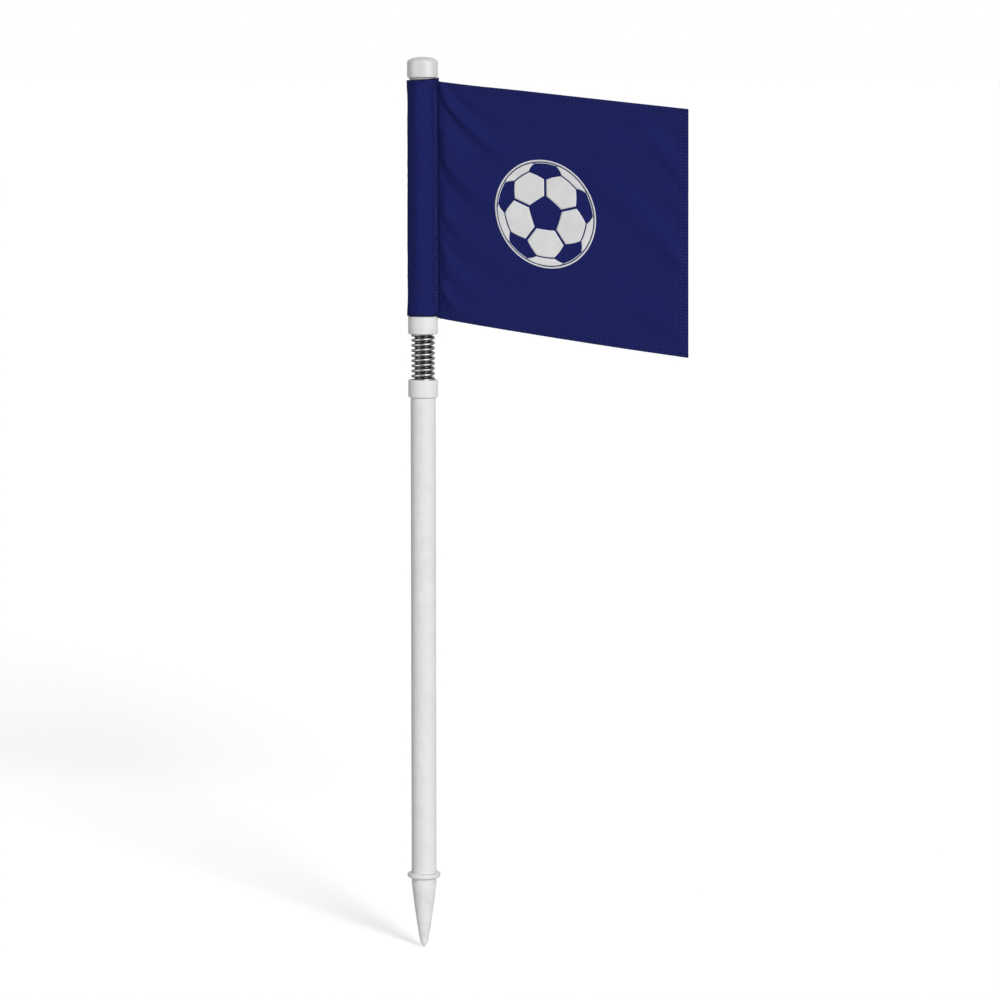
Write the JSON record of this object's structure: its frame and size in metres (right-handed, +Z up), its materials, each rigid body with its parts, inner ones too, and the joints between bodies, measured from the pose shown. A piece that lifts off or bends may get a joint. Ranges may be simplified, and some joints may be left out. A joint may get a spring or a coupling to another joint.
{
  "type": "corner flag",
  "caption": "Corner flag for a football pitch: a cloth flag on a plastic pole that bends at a coil spring and stands on a pointed ground spike with a stop ring.",
  "frame": {"origin": "on the pole's axis at turf level, in the plane of the flat underside of the spike's stop ring", "axes": "+Z up along the pole, +X from the pole towards the flag's free edge, -Y is the front of the flag"},
  "size_m": [0.5578, 0.0642, 1.7235],
  "materials": {
    "moulded_plastic": "white moulded plastic, satin",
    "pole_plastic": "white extruded PVC pipe, satin",
    "plug_plastic": "dark grey moulded plastic, matt",
    "spring_steel": "bright drawn spring wire",
    "core_rubber": "black rubber tube, smooth and a little glossy",
    "flag_cloth": "navy woven polyester, hemmed"
  },
  "bodies": {
    "post": {"ground_spike": "moulded_plastic", "lower_pole": "pole_plastic", "lower_spring_plug": "plug_plastic", "lower_collar": "moulded_plastic"},
    "spring": {"spring": "spring_steel", "spring_core": "core_rubber"},
    "mast": {"upper_spring_plug": "plug_plastic", "upper_collar": "moulded_plastic", "upper_pole": "pole_plastic", "top_cap": "moulded_plastic"},
    "flag": {"flag_sleeve": "flag_cloth", "flag_panel": "flag_cloth"}
  },
  "joints": [
    {"name": "lean_sideways", "type": "hinge", "parent": "post", "child": "spring", "pos_m": [0, 0, 0.99092], "axis": [0, 1, 0], "range_deg": [-60, 60], "stiffness_Nm_per_rad": 19.7, "deforming": ["spring", "spring_core"]},
    {"name": "lean_forward", "type": "hinge", "parent": "spring", "child": "mast", "pos_m": [0, 0, 1.03478], "axis": [1, 0, 0], "range_deg": [-60, 60], "stiffness_Nm_per_rad": 19.7, "deforming": ["spring", "spring_core"]},
    {"name": "flag_swivel", "type": "hinge", "parent": "mast", "child": "flag", "pos_m": [0, 0, 1.316], "axis": [0, 0, 1], "continuous": true}
  ]
}
